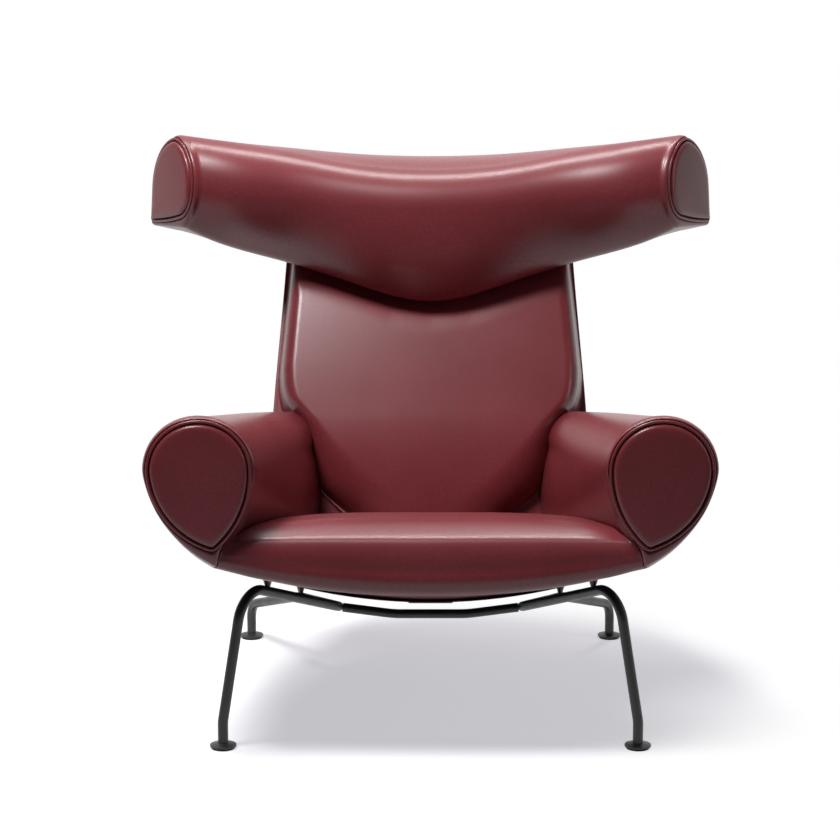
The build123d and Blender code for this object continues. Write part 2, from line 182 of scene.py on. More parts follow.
def addNode(tree, kind, settings=None, links=None):
    # one node with its settings, sockets by name or number, and its incoming links
    node = tree.nodes.new(kind)
    for key, value in (settings or {}).items():
        if isinstance(key, int) or key in node.inputs:
            node.inputs[key].default_value = value
        else:
            setattr(node, key, value)
    for key, source in (links or {}).items():
        tree.links.new(source, node.inputs[key])
    return node


def addNoise(tree, spot, scale, detail, rough):
    settings = {"Scale": scale, "Detail": detail, "Roughness": rough}
    return addNode(tree, "ShaderNodeTexNoise", settings, {"Vector": spot}).outputs["Fac"]


def addMath(tree, operation, *terms):
    # each term is a socket or a number
    node = addNode(tree, "ShaderNodeMath", {"operation": operation})
    for slot, term in zip(node.inputs, terms):
        if isinstance(term, float):
            slot.default_value = term
        else:
            tree.links.new(term, slot)
    return node.outputs[0]


def addRange(tree, source, given, wanted, kind="LINEAR"):
    # turns the given span into the wanted one, and holds the ends
    settings = {1: given[0], 2: given[1], 3: wanted[0], 4: wanted[1], "interpolation_type": kind}
    return addNode(tree, "ShaderNodeMapRange", settings, {0: source}).outputs[0]


def addRamp(tree, source, colours, places=(0.0, 1.0)):
    node = addNode(tree, "ShaderNodeValToRGB", links={"Fac": source})
    for stop, colour, place in zip(node.color_ramp.elements, colours, places):
        stop.position, stop.color = place, linear(colour)
    return node.outputs["Color"]


def addBump(tree, height, strength, distance):
    settings = {"Strength": strength, "Distance": distance}
    return addNode(tree, "ShaderNodeBump", settings, {"Height": height}).outputs[0]


def startMaterial(name):
    material = bpy.data.materials.new(name)
    material.use_nodes = True
    tree = material.node_tree
    tree.nodes.clear()
    return material, tree, addNode(tree, "ShaderNodeTexCoord").outputs["Object"]


def finishMaterial(material, shader):
    addNode(material.node_tree, "ShaderNodeOutputMaterial", links={"Surface": shader.outputs[0]})
    return material


# each noise has its scale per metre, its detail and its roughness
leather = {
    "colours": ("#7b2f34", "#85373e"),
    "flecks": "#6a262c",
    "fleckShare": 0.55,
    "roughness": (0.28, 0.37),
    "grain": 1.6,  # between pores, about twice the real ones so that they show
    "relief": 0.12,
    "cloud": (7.0, 4.0, 0.55),
    "mottle": (190.0, 3.0, 0.6),
    "creases": (320.0, 5.0, 0.65),
    "poreShare": 0.6,
}
lacquer = {
    "colours": ("#2a2a28", "#3a3a38"),
    "roughness": (0.36, 0.48),
    "relief": 0.1,
    "peel": (420.0, 3.0, 0.5),
    "wear": (60.0, 4.0, 0.6),
}
woven = {
    "waves": 62.5,  # 5 mm apart, wider than real threads so that they show
    "wobble": 0.4,
    "relief": 0.2,
}
felt = {"colours": ("#1b1b1a", "#343432"), "relief": 0.3, "fibre": (900.0, 6.0, 0.7)}
steel = {"colour": "#8d8d8f", "roughness": (0.35, 0.5), "grain": (300.0, 4.0, 0.5)}
noiseCore = (0.3, 0.7)  # where nearly all of a noise's values lie


def coverLeather():
    # Aniline cowhide, drum dyed and lightly finished: deep oxblood with a soft satin gloss,
    # cloudy dye and a fine pebble grain that breaks up the highlights.
    material, tree, spot = startMaterial("oxbloodAnilineLeather")
    cloud, mottle, creases = [addNoise(tree, spot, *leather[name]) for name in ("cloud", "mottle", "creases")]
    grain = {"Scale": 1 / (leather["grain"] * metre), "feature": "SMOOTH_F1"}
    pores = addNode(tree, "ShaderNodeTexVoronoi", grain, {"Vector": spot})
    dye = addRamp(tree, cloud, leather["colours"], places=(0.32, 0.68))
    fleck = addRange(tree, mottle, (0.42, 0.72), (0.0, leather["fleckShare"]))
    flecked = {"data_type": "RGBA", 7: linear(leather["flecks"])}
    tone = addNode(tree, "ShaderNodeMix", flecked, {0: fleck, 6: dye}).outputs[2]
    sheen = addRange(tree, mottle, noiseCore, leather["roughness"])
    pebble = addMath(tree, "MULTIPLY_ADD", pores.outputs["Distance"], leather["poreShare"], creases)
    relief = addBump(tree, pebble, strength=0.55, distance=leather["relief"] * metre)
    gloss = {"IOR": 1.5, "Specular IOR Level": 0.5, "Coat Weight": 0.1, "Coat Roughness": 0.25}
    links = {"Base Color": tone, "Roughness": sheen, "Normal": relief}
    return finishMaterial(material, addNode(tree, "ShaderNodeBsdfPrincipled", gloss, links))


def blackSteel():
    # Steel tube in a baked satin black lacquer: near black with a faint orange peel.
    material, tree, spot = startMaterial("satinBlackLacqueredSteel")
    peel, wear = [addNoise(tree, spot, *lacquer[name]) for name in ("peel", "wear")]
    tone = addRamp(tree, wear, lacquer["colours"])
    sheen = addRange(tree, wear, noiseCore, lacquer["roughness"])
    relief = addBump(tree, peel, strength=0.25, distance=lacquer["relief"] * metre)
    gloss = {"IOR": 1.5, "Specular IOR Level": 0.5}
    links = {"Base Color": tone, "Roughness": sheen, "Normal": relief}
    return finishMaterial(material, addNode(tree, "ShaderNodeBsdfPrincipled", gloss, links))


def weave(name, colours):
    # Plain woven cloth: threads over and under, both ways.
    material, tree, spot = startMaterial(name)
    threads = []
    for way in ("X", "Y"):
        settings = {"Scale": woven["waves"], "bands_direction": way, "Distortion": woven["wobble"]}
        threads.append(addNode(tree, "ShaderNodeTexWave", settings, {"Vector": spot}).outputs["Fac"])
    crossing = addMath(tree, "MAXIMUM", *threads)
    relief = addBump(tree, crossing, strength=0.5, distance=woven["relief"] * metre)
    gloss = {"Roughness": 0.85, "Specular IOR Level": 0.2, "Sheen Weight": 0.1}
    links = {"Base Color": addRamp(tree, crossing, colours), "Normal": relief}
    return finishMaterial(material, addNode(tree, "ShaderNodeBsdfPrincipled", gloss, links))


def pressedFelt():
    # Pressed wool felt: dull, matted short fibres.
    material, tree, spot = startMaterial("pressedWoolFelt")
    fibre = addNoise(tree, spot, *felt["fibre"])
    relief = addBump(tree, fibre, strength=0.6, distance=felt["relief"] * metre)
    gloss = {"Roughness": 0.95, "Specular IOR Level": 0.15, "Sheen Weight": 0.2}
    links = {"Base Color": addRamp(tree, fibre, felt["colours"]), "Normal": relief}
    return finishMaterial(material, addNode(tree, "ShaderNodeBsdfPrincipled", gloss, links))


def millSteel():
    # Plain drawn steel, as milled: grey metal with a faint draw grain.
    material, tree, spot = startMaterial("drawnMildSteel")
    grain = addNoise(tree, spot, *steel["grain"])
    gloss = {"Base Color": linear(steel["colour"]), "Metallic": 1.0}
    links = {"Roughness": addRange(tree, grain, noiseCore, steel["roughness"])}
    return finishMaterial(material, addNode(tree, "ShaderNodeBsdfPrincipled", gloss, links))


hide = coverLeather()
blackLacquer = blackSteel()
feltPad = pressedFelt()
rawSteel = millSteel()
liningCloth = weave("blackCambricLining", ("#0c0c0c", "#1c1b1b"))
tabCloth = weave("paleCottonTape", ("#b49a98", "#dcc6c3"))
print("materials made")

# headrest
headrest = {
    "spread": 447,  # from the middle to each horn's end
    "depth": 740,
    "height": 819,
    "yaw": 33,  # degrees that the horns sweep forward
    "rise": 4,  # and up
    "deep": 300,
    "tall": 250,
    "stations": [  # spread and turn, then lip, front, top, rear and base, all as shares
        (0.0, 0.0, (-0.12, -0.84), (-0.235, -0.2), (0.0, 0.092), (0.8333, -0.1), (0.67, -0.46)),
        (0.31, 0.1, (-0.07, -0.71), (-0.215, -0.17), (0.02, 0.13), (0.76, -0.07), (0.62, -0.44)),
        (0.56, 0.35, (0.0, -0.57), (-0.205, -0.13), (0.03, 0.213), (0.6, -0.03), (0.5, -0.42)),
        (0.8, 0.75, (-0.06, -0.44), (-0.25, -0.09), (0.0, 0.28), (0.4, -0.02), (0.35, -0.4)),
        (1.0, 1.0, (-0.14, -0.31), (-0.28, -0.04), (-0.02, 0.325), (0.265, -0.02), (0.26, -0.335)),
    ],
    "bows": [0.1, 0.19, 0.13, 0.04, 0.0],
    "counts": [16, 30, 36, 22, 26],
    "softness": 14,
    "sections": 121,
    "rim": 10,  # rounding from the horn's side to its end
    "moat": 7,  # depth of the recess that the cap and its welt lie in
}
hornCap = {
    "size": 70,
    "outline": [(-1.0, -0.18), (-0.06, 1.0), (0.95, -0.18), (0.96, -1.02), (-0.56, -0.77)],
    "bows": [0.2, 0.185, 0.0, 0.02, 0.14],
    "counts": [40, 40, 24, 40, 24],
    "softness": 10,
    "proud": 7,  # how far the face stands out at its edge roll's top
    "gap": 8.0,  # from the cap's edge to the rim round the welt
    "welt": 2.6,
}
rimShape = {
    "steps": 8,
    "least": 3,  # the rim's least width
    "wall": [(0.6, 1.2), (1.0, 3.0)],  # how far in from the rim's edge, and how far down
    "floor": [1.2, 4.0, 16.0],  # how far in the moat's floor has its points
}


def hornFrame(spread, turn):
    way = 1 if spread >= 0 else -1
    yaw, rise = radians(headrest["yaw"] * turn), radians(headrest["rise"] * turn)
    across = np.array((way * sin(yaw), cos(yaw), 0))
    out = np.array((cos(yaw) * cos(rise), -way * sin(yaw) * cos(rise), way * sin(rise)))
    return np.array((spread, yAt(headrest["depth"]), headrest["height"])), across, np.cross(out, across), out


def capRing(cap):
    # the cap's own outline, closed, dense and softened at its corners
    points = [(u * cap["size"], v * cap["size"]) for u, v in cap["outline"]]
    return soften(bowedOutline(points, cap["bows"], cap["counts"]), cap["softness"])


def reachOf(ring, angles):
    # how far the outline reaches from its centre at each angle
    own = np.arctan2(ring[:, 1], ring[:, 0])
    order = np.argsort(own)
    own, far = own[order], np.hypot(ring[:, 0], ring[:, 1])[order]
    own = np.concatenate([own - 2 * pi, own, own + 2 * pi])
    return np.interp(angles, own, np.tile(far, 3))


def rimRings(ring, body, cap, origin, across, up, out):
    # from a body's side ring, round its end to the moat that the cap and welt lie in
    flat = np.stack([(ring - origin) @ across, (ring - origin) @ up], 1)
    angles, reach = np.arctan2(flat[:, 1], flat[:, 0]), np.hypot(flat[:, 0], flat[:, 1])
    edge = reachOf(capRing(cap), angles) + cap["gap"]
    edge = np.minimum(edge, reach - rimShape["least"])
    rays = np.stack([np.cos(angles), np.sin(angles)], 1)
    rings = []
    for step in range(1, rimShape["steps"] + 1):
        turn = step / rimShape["steps"] * pi / 2
        far = edge + (reach - edge) * cos(turn)
        rings.append(onPlane(rays * far[:, None], origin + out * body["rim"] * (sin(turn) - 1), across, up))
    for inset, drop in rimShape["wall"] + [(inset, body["moat"]) for inset in rimShape["floor"]]:
        rings.append(onPlane(rays * (edge - inset)[:, None], origin - out * drop, across, up))
    return rings


def makeHeadrest():
    knots, outlines = [], []
    for way, (spread, turn, *outline) in bothWays(headrest["stations"]):
        points = [(u * headrest["deep"], v * headrest["tall"]) for u, v in outline]
        ring = soften(bowedOutline(points, headrest["bows"], headrest["counts"]), headrest["softness"])
        origin, across, up, out = hornFrame(way * spread * headrest["spread"], turn)
        if spread == 1.0:
            origin = origin - way * out * headrest["rim"]
        knots.append(way * spread)
        outlines.append(onPlane(ring, origin, across, up))
    rings = list(through(knots, outlines, np.linspace(-1, 1, headrest["sections"])))
    for way, end in ((1, -1), (-1, 0)):
        origin, across, up, out = hornFrame(way * headrest["spread"], 1)
        rim = rimRings(rings[end], headrest, hornCap, origin, across, up, way * out)
        rings = rings + rim if way == 1 else rim[::-1] + rings
    return skinRings("headrest_leather", rings)


headrestPiece = makeHeadrest()

# arms
arms = {
    "front": {"depth": 8, "inner": 257, "outer": 425, "seam": 313, "tall": 230},
    "rear": {"depth": 544, "inner": 202, "outer": 262, "seam": 192, "tall": 270},
    "lean": 30,  # degrees that the rear end leans with the back
    "stations": [  # depth, inner side, outer side, height, outline and lean, as shares of the way
        (0.0, 0.0, 0.0, 0.0, 0.0, 0.0),
        (0.34, 0.36, 0.15, 0.42, 0.3, 0.14),
        (0.67, 0.72, 0.42, 0.8, 0.7, 0.5),
        (1.0, 1.0, 1.0, 1.0, 1.0, 1.0),
    ],
    "frontOutline": [(0.36, 0.0), (0.31, 0.14), (0.0, 0.65), (0.5, 1.0), (1.0, 0.64)],
    "rearOutline": [(0.75, 0.02), (0.02, 0.16), (0.0, 0.76), (0.5, 1.0), (1.0, 0.6)],
    "bows": [0.0, 0.07, 0.2, 0.21, 0.125],
    "counts": [8, 26, 30, 30, 44],
    "softness": 8,
    "sections": 61,
    "firstGap": 1,  # the least room between the rim's section and the next
    "pressed": 12,  # how many of the last sections follow the back
    "sunk": 5,  # how far the end lies in the back
    "rim": 12,
    "moat": 7,
}
armCap = {
    "centre": (341.0, 460.0),  # across and up
    "size": 72,
    "outline": [(-1.0, 0.0), (0.0, 1.0), (1.0, 0.0), (-0.26, -1.58)],
    "bows": [0.21, 0.21, 0.16, 0.11],
    "counts": [32, 32, 44, 44],
    "softness": 7,
    "proud": 7,
    "gap": 8.0,
    "welt": 2.6,
}


def armFrame():
    x, z = armCap["centre"]
    origin = np.array((x, yAt(arms["front"]["depth"]), z))
    return origin, np.array((1.0, 0, 0)), np.array((0, 0, 1.0)), np.array((0, -1.0, 0))


def armSides(station):
    # the arm's inner and outer sides, and its seam's height
    shares = zip(("inner", "outer", "seam"), station[1:4])
    return [blend(arms["front"][name], arms["rear"][name], share) for name, share in shares]


def armStation(station):
    along, drop, reshaping, tilt = station[0], *station[3:]
    front, rear = arms["front"], arms["rear"]
    inner, outer, low = armSides(station)
    tall = blend(front["tall"], rear["tall"], drop)
    lean = radians(arms["lean"] * tilt)
    outline = [
        (blend(a[0], b[0], reshaping), blend(a[1], b[1], reshaping))
        for a, b in zip(arms["frontOutline"], arms["rearOutline"])
    ]
    points = [(blend(inner, outer, across), up * tall) for across, up in outline]
    ring = soften(bowedOutline(points, arms["bows"], arms["counts"]), arms["softness"])
    y = yAt(blend(front["depth"], rear["depth"], along))
    return onPlane(ring, (0, y, low), (1, 0, 0), (0, sin(lean), cos(lean)))


def makeArm(backTree):
    knots = [station[0] for station in arms["stations"]]
    outlines = [armStation(station) for station in arms["stations"]]
    rings = through(knots, outlines, np.linspace(0, 1, arms["sections"]))
    start = rings[0].copy()
    start[:, 1] += arms["rim"]
    rings = [start] + [ring for ring in rings if ring[:, 1].min() > start[:, 1].max() + arms["firstGap"]]
    pressed = arms["pressed"]
    last = rings[-1].copy()
    for i, (a, b) in enumerate(zip(rings[-pressed], rings[-1])):  # the end presses into the back
        way = (b - a) / np.linalg.norm(b - a)
        met = hit(backTree, a, tuple(way))
        if met is not None:
            last[i] = met + way * arms["sunk"]
    for step in range(1, pressed - 1):
        rings[-1 - step] = blend(rings[-pressed], last, (pressed - step) / pressed)
    rings[-1] = last
    return skinRings("right_arm_leather", rimRings(start, arms, armCap, *armFrame())[::-1] + rings)


# back
back = {
    "foot": (520, 270),  # depth and height of the front face's foot
    "recline": 30,  # degrees from upright
    "length": 590,
    "thick": 145,
    "cushion": 70,  # the front part of it, which is the back cushion's
    "half": 283,
    "top": 254,
    "bottom": 210,
    "stations": [  # rise, narrowing to the bottom, tapering to the top, fullness, all as shares
        (-0.13, 1.0, 0.0, 0.84),
        (0.0, 0.4, 0.0, 0.96),
        (0.18, 0.06, 0.1, 1.0),
        (0.4, 0.0, 0.28, 1.0),
        (0.6, 0.0, 0.54, 1.0),
        (0.8, 0.0, 0.8, 1.0),
        (1.0, 0.0, 1.0, 1.0),
    ],
}
panel = {
    "rises": (-70, 560, 127),  # lowest and highest section, and how many
    "points": 141,
    "rearShare": 0.985,
    "sunk": 6,  # how far its rear lies in the shell
    "crown": 3,
    "arch": (7, 240, 200),  # how far it falls away towards its top, from which rise, over how much
    "tuck": (34, 190),  # how far it falls away towards its foot, and from which rise down
    "most": 1.3,  # the largest share of the arch and of the lip's dip, before it is squared
    "sideGap": 5,
    # rise, then how far the face reaches, how broadly and how deeply it rounds off, and how
    # much its side wall slants
    "edge": [
        (-80, 90, 90, 66, 1),
        (0, 122, 100, 66, 1),
        (33, 150, 108, 66, 1),
        (69, 186, 102, 66, 1),
        (113, 206, 72, 64, 1),
        (140, 212, 52, 60, 2),
        (165, 218, 38, 54, 3),
        (190, 230, 28, 46, 6),
        (216, 249, 25, 38, 10),
        (250, 257, 25, 36, 9),
        (330, 260, 25, 36, 9),
        (600, 260, 25, 36, 9),
    ],
    # the headrest's lip over the panel: its rise at each distance from the middle
    "lip": [(0, 386), (70, 395), (140, 424), (180, 440), (211, 452), (256, 462), (300, 470)],
    "lipGap": 6,
    "lipRound": 60,
    "lipDrop": 8,
}
backShell = {
    "sideShare": 0.42,  # its sides' depth against its middle's
    "bows": [0.1, 0.1, 0.0],
    "counts": [60, 60, 1],
    "sections": 90,
    "frontGap": 1,  # from the panel's rear plane to the shell's front
    "frontInset": 3,
    "frontPoints": 60,
    "pocket": 80,  # how deep its front lies beside the panel, clear of the uprights
    "pocketFrom": 16,  # how far inside the panel's edge the pocket starts
    "pocketSlope": 12,
    "pocketRim": 14,
    "skin": 10,  # what stays behind the pocket
    "softness": 5,
}
upBack = np.array((0, sin(radians(back["recline"])), cos(radians(back["recline"]))))
offBack = np.array((0, cos(radians(back["recline"])), -sin(radians(back["recline"]))))


def onBack(x, rise, inset):
    return np.array((x, yAt(back["foot"][0]), back["foot"][1])) + rise * upBack + inset * offBack


def stationHalf(station):
    narrowing, tapering = station[1:3]
    return blend(blend(back["half"], back["bottom"], narrowing), back["top"], tapering)


def backHalf(rise):
    shares = [station[0] * back["length"] for station in back["stations"]]
    halves = [stationHalf(station) for station in back["stations"]]
    return through(shares, np.array(halves)[:, None], rise)[:, 0]


def edgeDrop(distance, reach, drop):
    # how far a rounded edge has fallen at a distance inside it
    share = np.clip(distance / reach, 0, 1)
    return drop * (1 - np.sqrt(np.clip(1 - (1 - share) ** 2, 0, 1)))


def panelEdge(rises):
    table = np.array(panel["edge"], float)
    columns = [np.interp(rises, table[:, 0], column) for column in table[:, 1:].T]
    smooth = through(table[:, 0], table[:, 1:2], rises)[:, 0]
    columns[0] = np.minimum(0.5 * (columns[0] + smooth), backHalf(rises) - panel["sideGap"] - columns[3])
    return np.stack(columns, 1)


def makeBackCushion():
    rises = np.linspace(*panel["rises"])
    spans = np.sin(np.linspace(-pi / 2, pi / 2, panel["points"]))  # closer together near the sides
    lipOut, lipRise = np.array(panel["lip"], float).T
    arch, archFrom, archOver = panel["arch"]
    tuck, tuckRise = panel["tuck"]
    rings = []
    for rise, (edge, rounding, drop, wall) in zip(rises, panelEdge(rises)):
        x = spans * (edge + wall)
        out = np.abs(x)
        side = edgeDrop(edge - out, rounding, drop)
        side += np.clip(out - edge, 0, None) / wall * (back["cushion"] - drop)
        below = 1 - (np.interp(out, lipOut, lipRise) + panel["lipGap"] - rise) / panel["lipRound"]
        under = np.clip(below, 0, panel["most"]) ** 2 * panel["lipDrop"]
        fall = panel["crown"] * np.clip(out / edge, 0, 1) ** 2
        fall += arch * np.clip((rise - archFrom) / archOver, 0, panel["most"]) ** 2
        dip = (side**3 + under**3) ** (1 / 3) + fall + tuck * np.clip(1 - rise / tuckRise, 0, 1) ** 2
        dip = np.minimum(dip, back["cushion"])
        front = [onBack(a, rise, d) for a, d in zip(x, dip)]
        rear = [onBack(a * panel["rearShare"], rise, back["cushion"] + panel["sunk"]) for a in x]
        rings.append(np.array(front + rear[::-1]))
    return skinRings("back_cushion_leather", rings)


def makeBackShell():
    shares = [station[0] for station in back["stations"]]
    front = back["cushion"] + backShell["frontGap"]
    rings = []
    for station in back["stations"]:
        rise, half = station[0] * back["length"], stationHalf(station)
        deep = back["thick"] * station[3]
        side = backShell["sideShare"] * deep
        arc = bowedOutline([(-half, side), (0, deep), (half, side)], backShell["bows"], backShell["counts"])
        arc[:, 1] = np.maximum(arc[:, 1], front)
        inner = half - backShell["frontInset"]
        across = np.linspace(inner, -inner, backShell["frontPoints"])
        out = np.abs(across)
        edge = panelEdge(np.array([rise]))[0][0]
        sunk = np.clip((out - edge + backShell["pocketFrom"]) / backShell["pocketSlope"], 0, 1)
        sunk *= np.clip((inner - out) / backShell["pocketRim"], 0, 1)
        thickness = np.interp(across, arc[:, 0], arc[:, 1]) - backShell["skin"]
        deepest = np.minimum(backShell["pocket"], thickness)
        flat = np.stack([across, front + sunk * np.clip(deepest - front, 0, None)], 1)
        ring = soften(np.vstack([arc[:-1], flat]), backShell["softness"])
        rings.append([onBack(x, rise, inset) for x, inset in ring])
    rings = through(shares, rings, np.linspace(shares[0], 1, backShell["sections"]))
    return skinRings("back_shell_leather", rings)


backCushionPiece = makeBackCushion()
backShellPiece = makeBackShell()
rightArmPiece = makeArm(treeOf(backCushionPiece, backShellPiece))
leftArmPiece = mirrored(rightArmPiece, "left_arm_leather")
print("headrest, arms and back made")

# caps and welts
pillow = {
    "rear": 4.5,  # how far behind its seam the cap is closed
    "rearScales": (0.9, 0.985),
    # the edge roll, as shares of the outline's size and of how far the cap stands proud
    "roll": [(1.0, -0.45), (1.0, 0.1), (0.993, 0.4), (0.978, 0.66), (0.955, 0.84), (0.92, 0.95), (0.87, 1.0)],
    "face": (0.78, 0.66, 0.52, 0.38, 0.24, 0.12, 0.04),
    "crown": 0.13,  # how much further the face's middle stands out
}
weltShape = {
    "sides": 14,
    "points": 200,
    "softness": 3,
    "lift": 0.4,  # from the cap's seam outwards
    "ease": 0.1,  # from the middle of the gap towards the rim
    "weld": 0.001,  # points closer than this become one
}


def makeCap(name, cap, origin, across, up, out):
    # pillowed panel: its edge rolls over, then its face crowns slightly
    ring = capRing(cap)
    behind = origin - out * pillow["rear"]
    rings = [onPlane(ring * scale, behind, across, up) for scale in pillow["rearScales"]]
    top = pillow["roll"][-1][0]
    face = [(scale, 1.0 + pillow["crown"] * (1 - (scale / top) ** 2)) for scale in pillow["face"]]
    for scale, height in pillow["roll"] + face:
        rings.append(onPlane(ring * scale, origin + out * height * cap["proud"], across, up))
    return skinRings(name, rings)


def pipingTree():
    # a round roll of leather along any closed curve
    tree = bpy.data.node_groups.new("pipingAlongPath", "GeometryNodeTree")
    tree.interface.new_socket("Geometry", in_out="INPUT", socket_type="NodeSocketGeometry")
    radius = tree.interface.new_socket("Roll radius", in_out="INPUT", socket_type="NodeSocketFloat")
    finish = tree.interface.new_socket("Finish", in_out="INPUT", socket_type="NodeSocketMaterial")
    tree.interface.new_socket("Geometry", in_out="OUTPUT", socket_type="NodeSocketGeometry")
    given = addNode(tree, "NodeGroupInput").outputs
    section = {"Resolution": weltShape["sides"]}
    circle = addNode(tree, "GeometryNodeCurvePrimitiveCircle", section, {"Radius": given["Roll radius"]})
    roll = addNode(tree, "GeometryNodeCurveToMesh", links={0: given["Geometry"], 1: circle.outputs["Curve"]})
    smooth = addNode(tree, "GeometryNodeSetShadeSmooth", links={"Geometry": roll.outputs["Mesh"]})
    real = addNode(tree, "GeometryNodeRealizeInstances", links={"Geometry": smooth.outputs[0]})
    dressing = {"Geometry": real.outputs[0], "Material": given["Finish"]}
    dressed = addNode(tree, "GeometryNodeSetMaterial", links=dressing)
    addNode(tree, "NodeGroupOutput", links={0: dressed.outputs[0]})
    return tree, radius.identifier, finish.identifier


pipingNodes, radiusSocket, finishSocket = pipingTree()


def makePiping(name, path, radius):
    curve = bpy.data.curves.new(name + "_path", "CURVE")
    curve.dimensions = "3D"
    spline = curve.splines.new("POLY")
    spline.points.add(len(path) - 1)
    spline.points.foreach_set("co", np.hstack([path * metre, np.ones((len(path), 1))]).ravel())
    spline.use_cyclic_u = True
    line = addObject(name + "_path", curve)
    maker = line.modifiers.new("piping", "NODES")
    maker.node_group = pipingNodes
    maker[radiusSocket] = radius * metre
    maker[finishSocket] = hide
    bpy.context.view_layer.update()
    mesh = bpy.data.meshes.new_from_object(line.evaluated_get(bpy.context.evaluated_depsgraph_get()))
    bpy.data.objects.remove(line)
    mesh.name = name
    faceOutward(mesh, weltShape["weld"] * metre)
    return addObject(name, mesh)


def weltPath(cap, origin, across, up, out):
    angles = np.linspace(pi, -pi, weltShape["points"], endpoint=False)
    reach = reachOf(capRing(cap), angles) + cap["gap"] / 2 + weltShape["ease"]
    path = np.stack([np.cos(angles), np.sin(angles)], 1) * reach[:, None]
    return onPlane(soften(path, weltShape["softness"]), origin + out * weltShape["lift"], across, up)


trims = {}
for name, cap, plane in (("arm", armCap, armFrame()), ("horn", hornCap, hornFrame(headrest["spread"], 1))):
    capNode, weltNode = f"right_{name}_cap", f"right_{name}_welt"
    trims[capNode] = makeCap(f"{capNode}_leather", cap, *plane)
    trims[weltNode] = makePiping(f"{weltNode}_roll", weltPath(cap, *plane), cap["welt"])
for node in list(trims):
    other = node.replace("right", "left")
    trims[other] = mirrored(trims[node], trims[node].name.replace("right", "left"))
print("caps and welts made")

# seat
shell = {
    "front": 40,
    "rear": 575,
    "middle": 256,  # the underside's height at its middle, at the front
    "rearMiddle": 142,
    "middleShares": (0.0, 0.3, 0.64, 1.0),
    "overlap": 10,  # how far it reaches past each arm's seam
    "thick": 26,
    "points": 81,
    "softness": 2,
    "nose": [(0, 11), (0.6, 6.5), (2, 3.6), (5, 1.4), (10, 0.3)],  # behind the front, inset
    "sections": (60, 574, 60),  # first and last depth behind the nose, and how many
}
cushion = {
    "front": 20,
    "sideFront": 15,
    "rear": 555,
    "half": 322,
    "rearHalf": 226,
    "lip": 263,
    "sideLip": 310,
    "crest": 367,
    "sideCrest": 358,
    "crestDepth": 130,
    "sideCrestDepth": 54,
    "rearTop": 261,
    "rearBottom": 176,
    "nose": 12,
    "noseShare": 0.42,  # the foremost point's height, from the lip to the crest
    "shoulder": (0.14, 0.86),  # depth from the front to the crest, and height as the nose's
    "foot": 2,  # how far the underside starts above the lip
    # spread, the crest's fall to its side values, and the lip's rise to its own
    "stations": [(0.0, 0.0, 0.0), (0.52, 0.08, 0.25), (0.82, 0.5, 0.66), (1.0, 1.0, 1.0)],
    "bows": [0.18, 0.1, 0.08, 0.02, 0.0, 0.0, 0.0],
    "counts": [14, 18, 24, 60, 10, 60, 8],
    "softness": 8,
    "sections": 101,
    "armGap": 0.8,
    "shellGap": 0.5,
    "shellFrom": 48,  # from this depth on the cushion lies on the shell
}
settling = {
    "frames": 20,
    "reach": 2.5,  # the furthest the leather moves
    "wide": (240, 400),  # free up to the first half width, and held from the second
    "deep": (15, 415),  # and the same for depths
    "cloth": {
        "quality": 5,
        "mass": 0.5,
        "tension_stiffness": 15,
        "compression_stiffness": 15,
        "bending_stiffness": 8,
        "shrink_min": -0.002,
        "use_pressure": True,
        "uniform_pressure_force": 4,
    },
}


def shellSection(depth):
    # half width, height under the middle and height at the rims, at a depth
    rows = []
    for station, share in zip(arms["stations"], shell["middleShares"]):
        inner, outer, seam = armSides(station)
        across = blend(arms["frontOutline"][0][0], arms["rearOutline"][0][0], station[4])
        middle = blend(shell["middle"], shell["rearMiddle"], share)
        rows.append((blend(inner, outer, across) + shell["overlap"], middle, seam + shell["overlap"]))
    knots = [blend(arms["front"]["depth"], arms["rear"]["depth"], station[0]) for station in arms["stations"]]
    knots[0], knots[-1] = shell["front"], shell["rear"]
    return through(knots, rows, depth)


def makeSeatShell():
    sections = [(shell["front"] + behind, inset) for behind, inset in shell["nose"]]
    sections += [(depth, 0) for depth in np.linspace(*shell["sections"])]
    spans = np.linspace(-1, 1, shell["points"])
    rings = []
    for depth, inset in sections:
        half, middle, rim = shellSection(depth)[0]
        low = middle + (rim - middle) * spans**2 + inset
        high = middle + (rim - middle) * spans**2 + shell["thick"] - inset
        y = np.full(len(spans), yAt(depth))
        bottom = np.stack([spans * half, y, low], 1)
        top = np.stack([spans[::-1] * half, y, high[::-1]], 1)
        rings.append(soften(np.vstack([bottom, top]), shell["softness"]))
    return skinRings("seat_shell_leather", rings)


def fadeOut(values, start, end):
    return np.clip((end - values) / (end - start), 0, 1)


